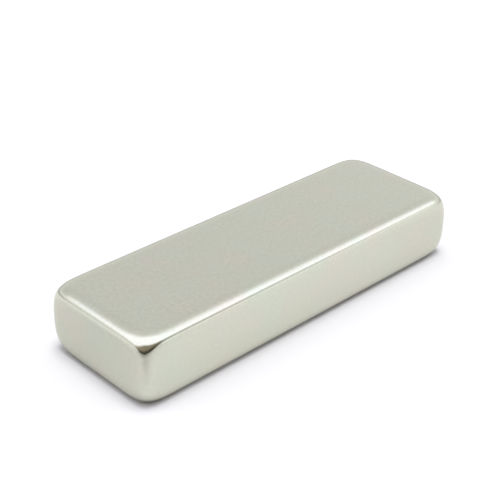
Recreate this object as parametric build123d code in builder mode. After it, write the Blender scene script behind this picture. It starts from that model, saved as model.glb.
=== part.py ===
"""Neodymium block magnet.

A sintered rectangular block with a bright nickel finish, tumbled before plating, so that its twelve
edges are rounded and its eight corners are worn to soft domes.

The origin is the centre of the lower pole face. +X runs along the length, +Y along the width and
+Z through the thickness, from one pole face to the other. All sizes are in millimetres.
"""

import os
from math import sqrt

from build123d import *

# Finished size over the flat faces
length = 60.0
width = 20.0
thickness = 10.0

# Rounding that tumbling leaves. The wear at a corner is a dome ground on the core, which is the
# block without the layer that rounds its edges. It starts this far from the corner on each edge.
edge_radius = 1.6
corner_reach = 1.7
corner_dome_radius = 2.9

core_length = length - 2 * edge_radius
core_width = width - 2 * edge_radius
core_thickness = thickness - 2 * edge_radius

# A sphere of the dome's radius meets the three edges of a core corner at the reach when its
# centre lies this far in from each of the three faces
dome_inset = (corner_reach + sqrt(3 * corner_dome_radius**2 - 2 * corner_reach**2)) / 3

mid_plane = Plane.XY.offset(thickness / 2)
dome_centre = (
    core_length / 2 - dome_inset,
    core_width / 2 - dome_inset,
    core_thickness / 2 - dome_inset,
)

# What is worn off the eight corners: all that lies outside the sphere at each of them
with BuildPart(mid_plane) as corner_wear:
    with Locations(dome_centre):
        Box(dome_inset, dome_inset, dome_inset, align=(Align.MIN, Align.MIN, Align.MIN))
        Sphere(corner_dome_radius, mode=Mode.SUBTRACT)
    mirror(about=Plane.YZ)
    mirror(about=Plane.XZ)
    mirror(about=mid_plane)

# The core with its worn corners, grown by the edge radius, which rolls one round over all edges
with BuildPart() as block_magnet:
    with Locations(mid_plane):
        Box(core_length, core_width, core_thickness)
    add(corner_wear.part, mode=Mode.SUBTRACT)
    offset(amount=edge_radius, kind=Kind.ARC)

block_magnet.part.label = "block_magnet"

os.makedirs("parts", exist_ok=True)
export_step(block_magnet.part, "parts/block_magnet.step")
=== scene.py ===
"""Nickel plated block magnet, with a plain studio around it.

The block is a control cage whose subdivided surface is flat on its six faces, turns softly over its
twelve edges and widens to a dome at its eight corners. Lengths are in metres.
"""

from math import cos, pi, radians, sin

import bmesh
import bpy
from bpy.props import FloatProperty, FloatVectorProperty, IntProperty, PointerProperty
from mathutils import Matrix, Vector


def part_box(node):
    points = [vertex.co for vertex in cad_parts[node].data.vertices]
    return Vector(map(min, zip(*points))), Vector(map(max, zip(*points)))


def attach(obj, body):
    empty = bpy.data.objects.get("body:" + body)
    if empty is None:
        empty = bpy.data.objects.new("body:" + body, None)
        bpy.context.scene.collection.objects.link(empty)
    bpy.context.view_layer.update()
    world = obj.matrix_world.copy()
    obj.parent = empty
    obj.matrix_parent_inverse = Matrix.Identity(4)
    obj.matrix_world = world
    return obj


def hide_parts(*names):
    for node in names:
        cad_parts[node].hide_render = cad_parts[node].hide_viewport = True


bl_info = {
    "name": "Block magnet",
    "version": (1, 0, 0),
    "blender": (4, 5, 0),
    "location": "View3D > Sidebar > Magnet",
    "description": "Models a nickel plated block magnet and the plain studio that shows it",
    "category": "Add Mesh",
}

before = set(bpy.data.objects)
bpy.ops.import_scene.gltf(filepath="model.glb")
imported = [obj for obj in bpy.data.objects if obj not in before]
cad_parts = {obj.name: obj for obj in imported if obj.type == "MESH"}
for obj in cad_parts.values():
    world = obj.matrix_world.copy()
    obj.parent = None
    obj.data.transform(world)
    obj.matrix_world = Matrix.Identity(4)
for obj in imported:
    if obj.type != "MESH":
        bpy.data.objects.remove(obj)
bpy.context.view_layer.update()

NODE = "block_magnet"
BODY = "root"
POLISH = "edge_polish"

UP = Vector((0, 0, 1))
QUARTER = radians(90)
WHITE = (1, 1, 1)

# Range that most of a noise texture's values fall in, and the part of it that shows as a patch
NOISE_RANGE = (0.3, 0.7)
PATCH_RANGE = (0.45, 0.75)

# How many times the noise repeats itself at half the size, in the grain and in the patches
FINE_DETAIL = 4
PATCH_DETAIL = 3

# Values of the polish attribute between which the roughness of the faces turns to the edges'
POLISH_RANGE = (0.1, 0.6)

# Digits to which two face normals must agree to count as the same
NORMAL_DIGITS = 3

# Camera's sensor width in millimetres, and the distance in metres from which it sees
SENSOR_WIDTH = 36
CLIP_START = 0.001

# Circles that bound the dark opening for the camera on the left, on the right and low down:
# azimuth and elevation of each circle's middle, and the angle from there to the rim
OPENING_RIMS = (
    (radians(-92), radians(-42), radians(112.3)),
    (radians(-162.7), radians(-57.2), radians(119)),
    (radians(-129.9), radians(39.4), radians(62.7)),
)


class BlockShape(bpy.types.PropertyGroup):
    """Form of the block between the frame's faces"""

    softness: FloatProperty(
        name="Edge softness",
        description="Distance from an edge at which its round begins",
        default=0.0027,
        unit="LENGTH",
    )
    corner_wear: FloatProperty(
        name="Corner wear",
        description="How far tumbling moved each control corner in along all three axes",
        default=0.0007,
        unit="LENGTH",
    )
    levels: IntProperty(
        name="Subdivision levels",
        description="Levels of subdivision of the control cage",
        default=4,
    )


class NickelFinish(bpy.types.PropertyGroup):
    """Bright nickel plate, satin on the faces and polished over the edges"""

    colour: FloatVectorProperty(
        name="Nickel colour",
        description="Colour of the plate seen square on",
        subtype="COLOR",
        default=(0.618, 0.623, 0.535),
    )
    warm_tint: FloatVectorProperty(
        name="Warm tint",
        description="Faint pink cast in broad patches",
        subtype="COLOR",
        default=(0.65, 0.61, 0.545),
    )
    cool_tint: FloatVectorProperty(
        name="Cool tint",
        description="Faint green cast in broad patches",
        subtype="COLOR",
        default=(0.597, 0.636, 0.545),
    )
    warm_patch_size: FloatProperty(
        name="Warm patch size",
        description="Size of the patches of warm tint",
        default=0.008,
        unit="LENGTH",
    )
    cool_patch_size: FloatProperty(
        name="Cool patch size",
        description="Size of the patches of cool tint",
        default=0.0056,
        unit="LENGTH",
    )
    patch_harshness: FloatProperty(
        name="Patch harshness",
        description="Strength of the fine detail in the patches of tint",
        default=0.55,
        subtype="FACTOR",
    )
    grain_size: FloatProperty(
        name="Grain size",
        description="Size of the fine grain that the sintered block gives the plate",
        default=0.0005,
        unit="LENGTH",
    )
    grain_harshness: FloatProperty(
        name="Grain harshness",
        description="Strength of the finest detail in the grain",
        default=0.5,
        subtype="FACTOR",
    )
    grain_contrast: FloatProperty(
        name="Grain contrast",
        description="Share by which the fine grain brightens and darkens the plate",
        default=0.036,
        subtype="FACTOR",
    )
    grain_depth: FloatProperty(
        name="Grain depth",
        description="Height of the fine grain",
        default=0.000002,
        unit="LENGTH",
    )
    grain_roughness: FloatProperty(
        name="Grain roughness spread",
        description="Share by which the fine grain raises and lowers the roughness",
        default=0.04,
        subtype="FACTOR",
    )
    patch_roughness: FloatProperty(
        name="Patch roughness spread",
        description="Share by which the patches raise and lower the roughness",
        default=0.03,
        subtype="FACTOR",
    )
    face_roughness: FloatProperty(
        name="Face roughness",
        description="Roughness of the satin faces",
        default=0.24,
        subtype="FACTOR",
    )
    edge_roughness: FloatProperty(
        name="Edge roughness",
        description="Roughness where tumbling polished the edges and corners",
        default=0.12,
        subtype="FACTOR",
    )


class Studio(bpy.types.PropertyGroup):
    """Pale floor and walls, a large soft light, a grey card and a dark opening for the camera"""

    floor_colour: FloatVectorProperty(
        name="Floor colour",
        description="Colour of the matt floor for the camera",
        subtype="COLOR",
        default=(0.64, 0.64, 0.64),
    )
    reflected_colour: FloatVectorProperty(
        name="Reflected floor colour",
        description="Colour of the matt floor in reflections",
        subtype="COLOR",
        default=(0.623, 0.628, 0.606),
    )
    # Painted light: reflections see the floor brighter right beside the block, lifting the block's
    # own shade there
    foot_light_colour: FloatVectorProperty(
        name="Foot floor colour",
        description="Colour in reflections of the floor right beside the block",
        subtype="COLOR",
        default=(0.648, 0.654, 0.632),
    )
    foot_light_reach: FloatProperty(
        name="Foot reach",
        description="Distance from the block over which the foot colour fades out",
        default=0.014,
        unit="LENGTH",
    )
    # Painted shade: the left, front, right and corner shades darken the floor's colour, in
    # reflections only, in fixed spots
    left_shade_colour: FloatVectorProperty(
        name="Left shade colour",
        description="Colour in reflections of the shaded floor off the left end",
        subtype="COLOR",
        default=(0.5, 0.502, 0.484),
    )
    left_shade_centre: FloatVectorProperty(
        name="Left shade centre",
        description="Middle of the shaded floor off the left end",
        subtype="TRANSLATION",
        default=(-0.041, 0.011, 0),
    )
    left_shade_inner: FloatProperty(
        name="Left shade inner radius",
        description="Distance from its middle within which the left shade is full",
        default=0.0,
        unit="LENGTH",
    )
    left_shade_outer: FloatProperty(
        name="Left shade outer radius",
        description="Distance from its middle at which the left shade has faded out",
        default=0.027,
        unit="LENGTH",
    )
    front_shade_colour: FloatVectorProperty(
        name="Front shade colour",
        description="Colour in reflections of the shaded floor towards the camera",
        subtype="COLOR",
        default=(0.29, 0.29, 0.28),
    )
    front_shade_centre: FloatVectorProperty(
        name="Front shade centre",
        description="Middle of the shaded floor towards the camera",
        subtype="TRANSLATION",
        default=(-0.2384, -0.2258, 0),
    )
    front_shade_inner: FloatProperty(
        name="Front shade inner radius",
        description="Distance from its middle within which the front shade is full",
        default=0.222,
        unit="LENGTH",
    )
    front_shade_outer: FloatProperty(
        name="Front shade outer radius",
        description="Distance from its middle at which the front shade has faded out",
        default=0.304,
        unit="LENGTH",
    )
    right_shade_colour: FloatVectorProperty(
        name="Right shade colour",
        description="Colour in reflections of the shaded floor off the far end of the front",
        subtype="COLOR",
        default=(0.595, 0.593, 0.57),
    )
    right_shade_centre: FloatVectorProperty(
        name="Right shade centre",
        description="Middle of the shaded floor off the far end of the front",
        subtype="TRANSLATION",
        default=(0.037, -0.017, 0),
    )
    right_shade_inner: FloatProperty(
        name="Right shade inner radius",
        description="Distance from its middle within which the right shade is full",
        default=0.002,
        unit="LENGTH",
    )
    right_shade_outer: FloatProperty(
        name="Right shade outer radius",
        description="Distance from its middle at which the right shade has faded out",
        default=0.016,
        unit="LENGTH",
    )
    corner_shade_colour: FloatVectorProperty(
        name="Corner shade colour",
        description="Colour in reflections of the shaded floor off the nearest corner",
        subtype="COLOR",
        default=(0.44, 0.44, 0.425),
    )
    corner_shade_centre: FloatVectorProperty(
        name="Corner shade centre",
        description="Middle of the shaded floor off the nearest corner",
        subtype="TRANSLATION",
        default=(-0.042, -0.028, 0),
    )
    corner_shade_inner: FloatProperty(
        name="Corner shade inner radius",
        description="Distance from its middle within which the corner shade is full",
        default=0.004,
        unit="LENGTH",
    )
    corner_shade_outer: FloatProperty(
        name="Corner shade outer radius",
        description="Distance from its middle at which the corner shade has faded out",
        default=0.02,
        unit="LENGTH",
    )
    lamp: FloatProperty(
        name="Overhead lamp",
        description="Brightness that the overhead lamp gives a white floor",
        default=0.6,
    )
    lamp_width: FloatProperty(
        name="Lamp width",
        description="Angle across the overhead lamp, which softens the shadow",
        default=radians(24),
        subtype="ANGLE",
    )
    lamp_tilt: FloatProperty(
        name="Lamp tilt",
        description="Angle by which the overhead lamp leans from straight above",
        default=radians(2),
        subtype="ANGLE",
    )
    lamp_azimuth: FloatProperty(
        name="Lamp azimuth",
        description="Direction that the overhead lamp leans to, from +X towards +Y",
        default=radians(-45),
        subtype="ANGLE",
    )
    floor_size: FloatProperty(
        name="Floor size",
        description="Side of the floor",
        default=6.0,
        unit="LENGTH",
    )
    wall: FloatProperty(
        name="Wall brightness",
        description="Brightness of the walls away from the camera",
        default=0.98,
    )
    skirting: FloatProperty(
        name="Skirting brightness",
        description="Brightness of those walls at the height of the floor",
        default=0.46,
    )
    skirting_top: FloatProperty(
        name="Skirting top",
        description="Elevation at which the skirting turns into wall",
        default=radians(8.2),
        subtype="ANGLE",
    )
    skirting_softness: FloatProperty(
        name="Skirting softness",
        description="Angle over which the skirting brightens to each side of its top",
        default=radians(8.2),
        subtype="ANGLE",
    )
    left_foot: FloatProperty(
        name="Left foot brightness",
        description="Brightness of the dark strip at the foot of the wall on the left",
        default=0.55,
    )
    left_foot_azimuth: FloatProperty(
        name="Left foot azimuth",
        description="Direction of the dark strip's middle, from +X towards +Y",
        default=radians(117),
        subtype="ANGLE",
    )
    left_foot_inner: FloatProperty(
        name="Left foot inner angle",
        description="Angle to each side of the dark strip's middle at which it starts to brighten",
        default=radians(15),
        subtype="ANGLE",
    )
    left_foot_outer: FloatProperty(
        name="Left foot outer angle",
        description="Angle to each side of the dark strip's middle at which it ends",
        default=radians(22),
        subtype="ANGLE",
    )
    left_foot_top: FloatProperty(
        name="Left foot top",
        description="Elevation of the dark strip's upper border",
        default=radians(7),
        subtype="ANGLE",
    )
    left_foot_softness: FloatProperty(
        name="Left foot softness",
        description="Angle over which the dark strip fades out to each side of its upper border",
        default=radians(4),
        subtype="ANGLE",
    )
    near_wall: FloatProperty(
        name="Near wall brightness",
        description="Brightness of the walls beside the camera",
        default=1.21,
    )
    near_wall_inner: FloatProperty(
        name="Near wall inner angle",
        description="Angle from the camera's side at which the walls start to darken",
        default=radians(91),
        subtype="ANGLE",
    )
    near_wall_outer: FloatProperty(
        name="Near wall outer angle",
        description="Angle from the camera's side at which the walls are as dark as far away",
        default=radians(131),
        subtype="ANGLE",
    )
    far_wall: FloatProperty(
        name="Far wall brightness",
        description="Brightness of the far wall's dim strip, which the top of the magnet reflects",
        default=0.787,
    )
    far_wall_azimuth: FloatProperty(
        name="Far wall azimuth",
        description="Direction of the dim strip's middle, from +X towards +Y",
        default=radians(70),
        subtype="ANGLE",
    )
    far_wall_bottom: FloatProperty(
        name="Far wall bottom",
        description="Elevation of the dim strip's lower border",
        default=radians(24.2),
        subtype="ANGLE",
    )
    far_wall_top: FloatProperty(
        name="Far wall top",
        description="Elevation of the dim strip's upper border",
        default=radians(48.5),
        subtype="ANGLE",
    )
    far_wall_softness: FloatProperty(
        name="Far wall softness",
        description="Angle over which the dim strip fades out to each side of its borders",
        default=radians(11),
        subtype="ANGLE",
    )
    far_wall_inner: FloatProperty(
        name="Far wall inner angle",
        description="Angle to each side of the dim strip's middle at which it starts to brighten",
        default=radians(17.5),
        subtype="ANGLE",
    )
    far_wall_outer: FloatProperty(
        name="Far wall outer angle",
        description="Angle to each side of the dim strip's middle at which it ends",
        default=radians(55),
        subtype="ANGLE",
    )
    light_colour: FloatVectorProperty(
        name="Light colour",
        description="Colour and brightness of the large soft light around and over the camera",
        default=(1.6, 1.6, 1.78),
    )
    light_azimuth: FloatProperty(
        name="Light azimuth",
        description="Direction of the light's middle, from +X towards +Y",
        default=radians(-126),
        subtype="ANGLE",
    )
    light_elevation: FloatProperty(
        name="Light elevation",
        description="Elevation of the light's middle",
        default=radians(33),
        subtype="ANGLE",
    )
    light_softness: FloatProperty(
        name="Light softness",
        description="Angle over which the light fades out to each side of its border",
        default=radians(6),
        subtype="ANGLE",
    )
    light_bottom: FloatProperty(
        name="Light bottom",
        description="Elevation of the light's lower border",
        default=radians(22.8),
        subtype="ANGLE",
    )
    light_bottom_softness: FloatProperty(
        name="Light bottom softness",
        description="Angle over which the light fades out to each side of its lower border",
        default=radians(7),
        subtype="ANGLE",
    )
    fade_azimuth: FloatProperty(
        name="Fade azimuth",
        description="Direction away from which the light fades, from +X towards +Y",
        default=radians(-136.3),
        subtype="ANGLE",
    )
    fade_elevation: FloatProperty(
        name="Fade elevation",
        description="Elevation of the direction away from which the light fades",
        default=radians(-18),
        subtype="ANGLE",
    )
    fade_inner: FloatProperty(
        name="Fade inner angle",
        description="Angle from the fade direction at which the light starts to fade",
        default=radians(115.5),
        subtype="ANGLE",
    )
    fade_outer: FloatProperty(
        name="Fade outer angle",
        description="Angle from the fade direction at which the light has faded out",
        default=radians(179),
        subtype="ANGLE",
    )
    ceiling_bottom: FloatProperty(
        name="Ceiling bottom",
        description="Elevation above which the light doesn't fade",
        default=radians(61.5),
        subtype="ANGLE",
    )
    ceiling_softness: FloatProperty(
        name="Ceiling softness",
        description="Angle over which the fade sets in to each side of the ceiling's border",
        default=radians(4.4),
        subtype="ANGLE",
    )
    card: FloatProperty(
        name="Card brightness",
        description="Brightness of the grey card between the light and the table",
        default=0.88,
    )
    card_azimuth: FloatProperty(
        name="Card azimuth",
        description="Direction of the card's middle; the card runs a quarter turn to each side",
        default=radians(-135),
        subtype="ANGLE",
    )
    card_bottom: FloatProperty(
        name="Card bottom",
        description="Elevation of the card's lower border at its left and right end, on average",
        default=radians(8.2),
        subtype="ANGLE",
    )
    card_bottom_slope: FloatProperty(
        name="Card bottom slope",
        description="How much lower than that it hangs at its left end, and higher at its right",
        default=radians(3.6),
        subtype="ANGLE",
    )
    card_top: FloatProperty(
        name="Card top",
        description="Elevation of the card's upper border at its left and right end, on average",
        default=radians(21.5),
        subtype="ANGLE",
    )
    card_top_slope: FloatProperty(
        name="Card top slope",
        description="How much lower than that it hangs at its left end, and higher at its right",
        default=radians(8),
        subtype="ANGLE",
    )
    card_softness: FloatProperty(
        name="Card softness",
        description="Angle over which the card fades out to each side of its borders",
        default=radians(1.5),
        subtype="ANGLE",
    )
    opening_low_colour: FloatVectorProperty(
        name="Low opening colour",
        description="Dim room seen through the opening for the camera, near the horizon",
        subtype="COLOR",
        default=(0.08, 0.073, 0.054),
    )
    opening_colour: FloatVectorProperty(
        name="Opening colour",
        description="Dim room seen through the opening for the camera, higher up",
        subtype="COLOR",
        default=(0.36, 0.315, 0.24),
    )
    low_room_top: FloatProperty(
        name="Low room top",
        description="Elevation at which the dim room turns brighter, on average",
        default=radians(15.5),
        subtype="ANGLE",
    )
    low_room_azimuth: FloatProperty(
        name="Low room azimuth",
        description="Direction in which that elevation is lowest, from +X towards +Y",
        default=radians(145),
        subtype="ANGLE",
    )
    low_room_slope: FloatProperty(
        name="Low room slope",
        description="How much lower than that it does so at that azimuth",
        default=radians(5),
        subtype="ANGLE",
    )
    low_room_softness: FloatProperty(
        name="Low room softness",
        description="Angle over which the dim room brightens to each side of that border",
        default=radians(7),
        subtype="ANGLE",
    )
    pale_room_colour: FloatVectorProperty(
        name="Pale room colour",
        description="Paler part of the dim room, on the left",
        subtype="COLOR",
        default=(0.5, 0.39, 0.335),
    )
    pale_room_azimuth: FloatProperty(
        name="Pale room azimuth",
        description="Direction of the room's paler part, from +X towards +Y",
        default=radians(134),
        subtype="ANGLE",
    )
    pale_room_elevation: FloatProperty(
        name="Pale room elevation",
        description="Elevation of the room's paler part",
        default=radians(20),
        subtype="ANGLE",
    )
    pale_room_inner: FloatProperty(
        name="Pale room inner angle",
        description="Angle from its middle at which the paler part starts to darken",
        default=radians(9),
        subtype="ANGLE",
    )
    pale_room_outer: FloatProperty(
        name="Pale room outer angle",
        description="Angle from its middle at which the paler part ends",
        default=radians(73),
        subtype="ANGLE",
    )
    opening_softness: FloatProperty(
        name="Opening softness",
        description="Angle over which the room fades out to each side of the opening's rims",
        default=radians(7.2),
        subtype="ANGLE",
    )


class StudioCamera(bpy.types.PropertyGroup):
    """Camera of the main view"""

    azimuth: FloatProperty(
        name="Azimuth",
        description="Turn of the view about the vertical; at zero it looks along +Y",
        default=radians(-43.95),
        subtype="ANGLE",
    )
    elevation: FloatProperty(
        name="Elevation",
        description="Height of the camera over the horizon",
        default=radians(30.16),
        subtype="ANGLE",
    )
    roll: FloatProperty(
        name="Roll",
        description="Turn of the camera about its own line of sight",
        default=radians(0.72),
        subtype="ANGLE",
    )
    aim: FloatVectorProperty(
        name="Aim",
        description="Point at half height that the middle of the view falls on",
        subtype="TRANSLATION",
        default=(0.001846, 0.004521, 0.005),
    )
    distance: FloatProperty(
        name="Distance",
        description="Distance from the camera to the aim",
        default=0.17228,
        unit="LENGTH",
    )
    lens: FloatProperty(
        name="Focal length",
        description="Focal length in millimetres on a 36 mm wide sensor",
        default=84.26,
    )


# Block


def control_places(low, high, softness):
    """Places of the control loops across one axis, one and two steps in from each face.

    Where the block is too thin for both inner loops, one loop in the middle stands for them.
    """
    low_inner, high_inner = low + 2 * softness, high - 2 * softness
    inner = (low_inner, high_inner) if low_inner < high_inner else ((low + high) / 2,)
    return low + softness, *inner, high - softness


def cut_loop(cage, axis, place):
    """Cuts one control loop round the cage, square to an axis."""
    normal = Vector((0, 0, 0))
    normal[axis] = 1
    everything = cage.verts[:] + cage.edges[:] + cage.faces[:]
    bmesh.ops.bisect_plane(cage, geom=everything, plane_co=normal * place, plane_no=normal)


def build_cage(low, high, shape):
    """Control cage of the block: a cut box with its eight corners moved in."""
    cage = bmesh.new()
    centre = (low + high) / 2
    bmesh.ops.create_cube(cage, size=1)
    bmesh.ops.scale(cage, vec=high - low, verts=cage.verts)
    bmesh.ops.translate(cage, vec=centre, verts=cage.verts)
    for axis in range(3):
        for place in control_places(low[axis], high[axis], shape.softness):
            cut_loop(cage, axis, place)

    # The polish lies where faces of different directions meet
    polish = cage.verts.layers.float.new(POLISH)
    for vert in cage.verts:
        normals = {face.normal.to_tuple(NORMAL_DIGITS) for face in vert.link_faces}
        vert[polish] = 1.0 if len(normals) > 1 else 0.0

    # Three edges meet at a corner of the box, and four at every other point
    corners = [vert for vert in cage.verts if len(vert.link_edges) == 3]
    for corner in corners:
        inwards = centre - corner.co
        step = Vector([shape.corner_wear if part > 0 else -shape.corner_wear for part in inwards])
        bmesh.ops.translate(cage, vec=step, verts=[corner])
    for face in cage.faces:
        face.smooth = True
    return cage


class MESH_OT_add_block_magnet(bpy.types.Operator):
    """Add the nickel plated block, in the place of its solid in the frame"""

    bl_idname = "mesh.add_block_magnet"
    bl_label = "Block magnet"
    bl_options = {"REGISTER", "UNDO"}

    def execute(self, context):
        settings = context.scene
        low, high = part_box(NODE)
        cage = build_cage(low, high, settings.magnet_shape)
        data = bpy.data.meshes.new("plated_block")
        cage.to_mesh(data)
        cage.free()
        block = bpy.data.objects.new("plated_block", data)
        context.scene.collection.objects.link(block)
        data.materials.append(nickel_material(settings.magnet_finish))
        soften = block.modifiers.new("soften", "SUBSURF")
        soften.levels = settings.magnet_shape.levels
        soften.render_levels = settings.magnet_shape.levels
        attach(block, BODY)
        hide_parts(NODE)
        return {"FINISHED"}


# Shader nodes


def add_node(tree, kind, **values):
    """Adds a shader node and sets its properties and unlinked inputs by name."""
    node = tree.nodes.new(kind)
    for name, value in values.items():
        if hasattr(node, name):
            setattr(node, name, value)
        else:
            node.inputs[name].default_value = value
    return node


def link(tree, source, target):
    """Joins an output socket to an input socket."""
    tree.links.new(source, target)


def noise(tree, position, size, detail, harshness):
    """Noise whose features are about the given size in metres."""
    values = {"Scale": 1 / size, "Detail": detail, "Roughness": harshness}
    texture = add_node(tree, "ShaderNodeTexNoise", **values)
    link(tree, position, texture.inputs["Vector"])
    return texture.outputs["Fac"]


def remap(tree, value, from_low, from_high, to_low, to_high):
    """Linear change of range, clamped."""
    node = add_node(tree, "ShaderNodeMapRange")
    for name, number in (
        ("From Min", from_low),
        ("From Max", from_high),
        ("To Min", to_low),
        ("To Max", to_high),
    ):
        node.inputs[name].default_value = number
    link(tree, value, node.inputs["Value"])
    return node.outputs["Result"]


def around_one(tree, value, spread):
    """Noise turned into a factor that swings by the spread to each side of one."""
    return remap(tree, value, *NOISE_RANGE, 1 - spread, 1 + spread)


def grey(brightness):
    """Neutral colour of the given brightness."""
    return (brightness,) * 3


def product(tree, first, second):
    """Product of two values."""
    node = add_node(tree, "ShaderNodeMath", operation="MULTIPLY")
    link(tree, first, node.inputs[0])
    link(tree, second, node.inputs[1])
    return node.outputs[0]


def larger(tree, first, second):
    """Larger of two values."""
    node = add_node(tree, "ShaderNodeMath", operation="MAXIMUM")
    link(tree, first, node.inputs[0])
    link(tree, second, node.inputs[1])
    return node.outputs[0]


def mix_colour(tree, factor, first, second):
    """Mix of two colours, each a socket or a plain colour."""
    node = add_node(tree, "ShaderNodeMix", data_type="RGBA")
    link(tree, factor, node.inputs["Factor"])
    for name, colour in (("A", first), ("B", second)):
        socket = next(s for s in node.inputs if s.name == name and s.type == "RGBA")
        if isinstance(colour, bpy.types.NodeSocket):
            link(tree, colour, socket)
        else:
            socket.default_value = (*colour, 1)
    return next(s for s in node.outputs if s.type == "RGBA")


# Materials


def nickel_material(finish):
    """Nickel plate: satin grain on the faces, polished edges, faint patches of tint."""
    material = bpy.data.materials.new("bright_nickel_plate")
    material.use_nodes = True
    tree = material.node_tree
    shader = tree.nodes["Principled BSDF"]
    shader.inputs["Metallic"].default_value = 1.0
    position = add_node(tree, "ShaderNodeTexCoord").outputs["Object"]

    harshness = finish.patch_harshness
    warm_patches = noise(tree, position, finish.warm_patch_size, PATCH_DETAIL, harshness)
    cool_patches = noise(tree, position, finish.cool_patch_size, PATCH_DETAIL, harshness)
    warm = remap(tree, warm_patches, *PATCH_RANGE, 0, 1)
    cool = remap(tree, cool_patches, *PATCH_RANGE, 0, 1)
    colour = mix_colour(tree, warm, finish.colour, finish.warm_tint)
    colour = mix_colour(tree, cool, colour, finish.cool_tint)

    grain = noise(tree, position, finish.grain_size, FINE_DETAIL, finish.grain_harshness)
    speckle = around_one(tree, grain, finish.grain_contrast)
    speckled = add_node(tree, "ShaderNodeVectorMath", operation="SCALE")
    link(tree, colour, speckled.inputs[0])
    link(tree, speckle, speckled.inputs["Scale"])
    link(tree, speckled.outputs[0], shader.inputs["Base Color"])

    polish = add_node(tree, "ShaderNodeAttribute", attribute_name=POLISH).outputs["Fac"]
    roughness = remap(tree, polish, *POLISH_RANGE, finish.face_roughness, finish.edge_roughness)
    roughness = product(tree, roughness, around_one(tree, grain, finish.grain_roughness))
    roughness = product(tree, roughness, around_one(tree, warm_patches, finish.patch_roughness))
    link(tree, roughness, shader.inputs["Roughness"])

    bump = add_node(tree, "ShaderNodeBump", Strength=1.0, Distance=finish.grain_depth)
    link(tree, grain, bump.inputs["Height"])
    link(tree, bump.outputs["Normal"], shader.inputs["Normal"])
    return material


def shade(tree, position, centre, inner, outer):
    """One within the inner radius of a point on the floor, fading to zero at the outer radius."""
    distance = add_node(tree, "ShaderNodeVectorMath", operation="DISTANCE")
    link(tree, position, distance.inputs[0])
    distance.inputs[1].default_value = centre
    return remap(tree, distance.outputs["Value"], inner, outer, 1, 0)


def beside(tree, position, half_size, reach):
    """One at the foot of the block, fading to zero at the reach from it."""
    folded = add_node(tree, "ShaderNodeVectorMath", operation="ABSOLUTE")
    link(tree, position, folded.inputs[0])
    past = add_node(tree, "ShaderNodeVectorMath", operation="SUBTRACT")
    link(tree, folded.outputs[0], past.inputs[0])
    past.inputs[1].default_value = half_size
    outside = add_node(tree, "ShaderNodeVectorMath", operation="MAXIMUM")
    link(tree, past.outputs[0], outside.inputs[0])
    distance = add_node(tree, "ShaderNodeVectorMath", operation="LENGTH")
    link(tree, outside.outputs[0], distance.inputs[0])
    return remap(tree, distance.outputs["Value"], 0, reach, 1, 0)


def floor_material(studio):
    """Matt pale floor that shows white to the camera where it is lit, and keeps the shadow; its
    colour in reflections carries painted light at the block's foot and painted shade in four spots.
    """
    material = bpy.data.materials.new("pale_floor")
    material.use_nodes = True
    tree = material.node_tree
    tree.nodes.remove(tree.nodes["Principled BSDF"])
    position = add_node(tree, "ShaderNodeTexCoord").outputs["Object"]
    foot = beside(tree, position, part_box(NODE)[1], studio.foot_light_reach)
    # Painted light: brighter floor colour at the block's foot, seen only in reflections
    reflected = mix_colour(tree, foot, studio.reflected_colour, studio.foot_light_colour)
    # Painted shade: four darker spots in the floor's colour, seen only in reflections
    for name in ("left_shade", "front_shade", "right_shade", "corner_shade"):
        colour, centre, inner, outer = (
            getattr(studio, f"{name}_{part}") for part in ("colour", "centre", "inner", "outer")
        )
        reflected = mix_colour(tree, shade(tree, position, centre, inner, outer), reflected, colour)
    camera_ray = add_node(tree, "ShaderNodeLightPath").outputs["Is Camera Ray"]
    matt = add_node(tree, "ShaderNodeBsdfDiffuse")
    link(tree, mix_colour(tree, camera_ray, reflected, studio.floor_colour), matt.inputs["Color"])
    link(tree, matt.outputs[0], tree.nodes["Material Output"].inputs["Surface"])
    return material


# Studio light


def heading(azimuth, elevation):
    """Unit vector of a direction in the studio."""
    return Vector((
        cos(azimuth) * cos(elevation),
        sin(azimuth) * cos(elevation),
        sin(elevation),
    ))


def spot(tree, direction, centre, inner, outer):
    """One within the inner angle from a fixed direction, fading to zero at the outer angle."""
    node = add_node(tree, "ShaderNodeVectorMath", operation="DOT_PRODUCT")
    link(tree, direction, node.inputs[0])
    node.inputs[1].default_value = centre
    return remap(tree, node.outputs["Value"], cos(outer), cos(inner), 0, 1)


def above(tree, direction, up, elevation, softness):
    """One above an elevation and zero under it, fading over the softness to each side."""
    zenith_angle = QUARTER - elevation
    return spot(tree, direction, up, zenith_angle - softness, zenith_angle + softness)


def below(tree, direction, up, elevation, softness):
    """One under an elevation and zero above it, fading over the softness to each side."""
    return above(tree, direction, -up, -elevation, softness)


def wall_colour(tree, direction, studio):
    """Walls that are brighter beside the camera, with a dim skirting and a dim part far away."""
    wall = above(tree, direction, UP, studio.skirting_top, studio.skirting_softness)
    colour = mix_colour(tree, wall, grey(studio.skirting), grey(studio.wall))
    near = spot(
        tree,
        direction,
        heading(studio.card_azimuth, 0),
        studio.near_wall_inner,
        studio.near_wall_outer,
    )
    colour = mix_colour(tree, near, colour, grey(studio.near_wall))
    middle = heading(studio.far_wall_azimuth, (studio.far_wall_bottom + studio.far_wall_top) / 2)
    far = spot(tree, direction, middle, studio.far_wall_inner, studio.far_wall_outer)
    soft = studio.far_wall_softness
    far = product(tree, far, above(tree, direction, UP, studio.far_wall_bottom, soft))
    far = product(tree, far, below(tree, direction, UP, studio.far_wall_top, soft))
    return mix_colour(tree, far, colour, grey(studio.far_wall))


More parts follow.
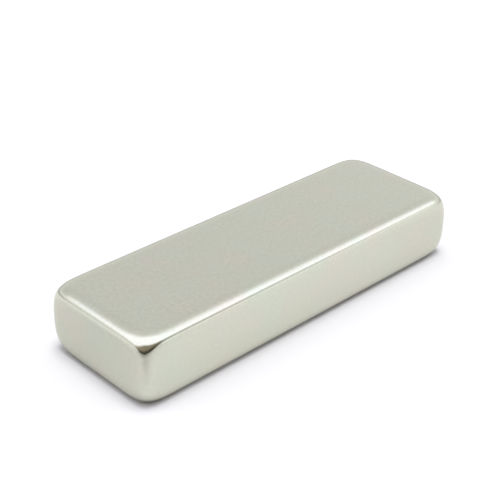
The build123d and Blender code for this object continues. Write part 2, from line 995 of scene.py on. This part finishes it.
def light_share(tree, direction, studio):
    """One in the large soft light, which under the ceiling fades away from the camera's side."""
    facing = heading(studio.light_azimuth, studio.light_elevation)
    light = above(tree, direction, facing, 0, studio.light_softness)
    bottom = above(tree, direction, UP, studio.light_bottom, studio.light_bottom_softness)
    fade_from = heading(studio.fade_azimuth, studio.fade_elevation)
    fade = spot(tree, direction, fade_from, studio.fade_inner, studio.fade_outer)
    ceiling = above(tree, direction, UP, studio.ceiling_bottom, studio.ceiling_softness)
    return product(tree, product(tree, light, bottom), larger(tree, fade, ceiling))


def card_share(tree, direction, studio):
    """One where the grey card hangs, between its two sloping borders."""
    soft = studio.card_softness
    towards_left = studio.card_azimuth - QUARTER
    low = heading(towards_left, QUARTER - studio.card_bottom_slope)
    high = heading(towards_left, QUARTER - studio.card_top_slope)
    card = above(tree, direction, heading(studio.card_azimuth, 0), 0, soft)
    card = product(tree, card, above(tree, direction, low, studio.card_bottom, soft))
    return product(tree, card, below(tree, direction, high, studio.card_top, soft))


def left_foot_share(tree, direction, studio):
    """One in the dark strip at the foot of the wall on the left."""
    middle = heading(studio.left_foot_azimuth, 0)
    strip = spot(tree, direction, middle, studio.left_foot_inner, studio.left_foot_outer)
    low = below(tree, direction, UP, studio.left_foot_top, studio.left_foot_softness)
    return product(tree, strip, low)


def opening_share(tree, direction, studio):
    """One inside all three rims of the opening for the camera."""
    soft = studio.opening_softness
    left, right, low = (
        spot(tree, direction, heading(azimuth, elevation), radius - soft, radius + soft)
        for azimuth, elevation, radius in OPENING_RIMS
    )
    return product(tree, product(tree, left, right), low)


def room_colour(tree, direction, studio):
    """Dim room behind the camera, darkest near the horizon and paler on the left."""
    pale = spot(
        tree,
        direction,
        heading(studio.pale_room_azimuth, studio.pale_room_elevation),
        studio.pale_room_inner,
        studio.pale_room_outer,
    )
    colour = mix_colour(tree, pale, studio.opening_colour, studio.pale_room_colour)
    leaning = heading(studio.low_room_azimuth, QUARTER - studio.low_room_slope)
    high = above(tree, direction, leaning, studio.low_room_top, studio.low_room_softness)
    return mix_colour(tree, high, studio.opening_low_colour, colour)


def studio_world(studio):
    """Walls, the large soft light, the card under it and the opening for the camera."""
    world = bpy.data.worlds.new("studio")
    world.use_nodes = True
    tree = world.node_tree
    direction = add_node(tree, "ShaderNodeTexCoord").outputs["Generated"]

    colour = wall_colour(tree, direction, studio)
    colour = mix_colour(tree, light_share(tree, direction, studio), colour, studio.light_colour)
    colour = mix_colour(tree, card_share(tree, direction, studio), colour, grey(studio.card))
    foot = left_foot_share(tree, direction, studio)
    colour = mix_colour(tree, foot, colour, grey(studio.left_foot))
    opening = opening_share(tree, direction, studio)
    colour = mix_colour(tree, opening, colour, room_colour(tree, direction, studio))

    camera_ray = add_node(tree, "ShaderNodeLightPath").outputs["Is Camera Ray"]
    colour = mix_colour(tree, camera_ray, colour, WHITE)
    link(tree, colour, tree.nodes["Background"].inputs["Color"])
    return world


# Stage and camera


class SCENE_OT_add_magnet_studio(bpy.types.Operator):
    """Add the floor, the studio's light and the camera of the main view"""

    bl_idname = "scene.add_magnet_studio"
    bl_label = "Studio"
    bl_options = {"REGISTER", "UNDO"}

    def execute(self, context):
        scene = context.scene
        studio = scene.magnet_studio
        plane = bmesh.new()
        bmesh.ops.create_grid(plane, x_segments=1, y_segments=1, size=studio.floor_size / 2)
        data = bpy.data.meshes.new("floor")
        plane.to_mesh(data)
        plane.free()
        floor = bpy.data.objects.new("floor", data)
        scene.collection.objects.link(floor)
        data.materials.append(floor_material(studio))

        hang_lamp(scene, studio)
        scene.world = studio_world(studio)
        scene.view_settings.view_transform = "Standard"
        place_camera(scene, scene.magnet_camera)
        return {"FINISHED"}


def hang_lamp(scene, studio):
    """Lamp overhead that draws the magnet's shadow close to it and leaves no spot on the nickel."""
    data = bpy.data.lights.new("overhead_lamp", "SUN")
    # A sun of strength pi lights a white floor to a brightness of one
    data.energy = studio.lamp * pi
    data.angle = studio.lamp_width
    lamp = bpy.data.objects.new("overhead_lamp", data)
    leaning = heading(studio.lamp_azimuth, QUARTER - studio.lamp_tilt)
    lamp.rotation_euler = leaning.to_track_quat("Z", "Y").to_euler()
    lamp.visible_glossy = False
    scene.collection.objects.link(lamp)


def place_camera(scene, view):
    """Aims the camera along its azimuth and elevation at the aim point."""
    data = bpy.data.cameras.new("main_view")
    data.lens = view.lens
    data.sensor_width = SENSOR_WIDTH
    data.clip_start = CLIP_START
    camera = bpy.data.objects.new("main_view", data)
    turn = Matrix.Rotation(view.azimuth, 4, "Z")
    tilt = Matrix.Rotation(QUARTER - view.elevation, 4, "X")
    roll = Matrix.Rotation(view.roll, 4, "Z")
    away = Matrix.Translation((0, 0, view.distance))
    camera.matrix_world = Matrix.Translation(view.aim) @ turn @ tilt @ roll @ away
    scene.collection.objects.link(camera)
    scene.camera = camera


# Panel and run


class VIEW3D_PT_block_magnet(bpy.types.Panel):
    """Sidebar panel with the magnet's steps and settings"""

    bl_label = "Block magnet"
    bl_space_type = "VIEW_3D"
    bl_region_type = "UI"
    bl_category = "Magnet"

    def draw(self, context):
        layout = self.layout
        for operator in (MESH_OT_add_block_magnet, SCENE_OT_add_magnet_studio):
            layout.operator(operator.bl_idname)
        for name in SETTINGS:
            box = layout.box()
            settings = getattr(context.scene, name)
            for prop in settings.bl_rna.properties:
                if prop.identifier not in ("rna_type", "name"):
                    box.prop(settings, prop.identifier)


SETTINGS = {
    "magnet_shape": BlockShape,
    "magnet_finish": NickelFinish,
    "magnet_studio": Studio,
    "magnet_camera": StudioCamera,
}
CLASSES = (
    *SETTINGS.values(),
    MESH_OT_add_block_magnet,
    SCENE_OT_add_magnet_studio,
    VIEW3D_PT_block_magnet,
)


def register():
    """Registers the classes and gives every scene its settings."""
    for cls in CLASSES:
        bpy.utils.register_class(cls)
    for name, group in SETTINGS.items():
        setattr(bpy.types.Scene, name, PointerProperty(type=group))


def unregister():
    """Takes the settings and the classes away again."""
    for name in SETTINGS:
        delattr(bpy.types.Scene, name)
    for cls in reversed(CLASSES):
        bpy.utils.unregister_class(cls)


def main():
    """Builds the block and its studio."""
    register()
    bpy.ops.mesh.add_block_magnet()
    bpy.ops.scene.add_magnet_studio()


if __name__ == "__main__":
    main()
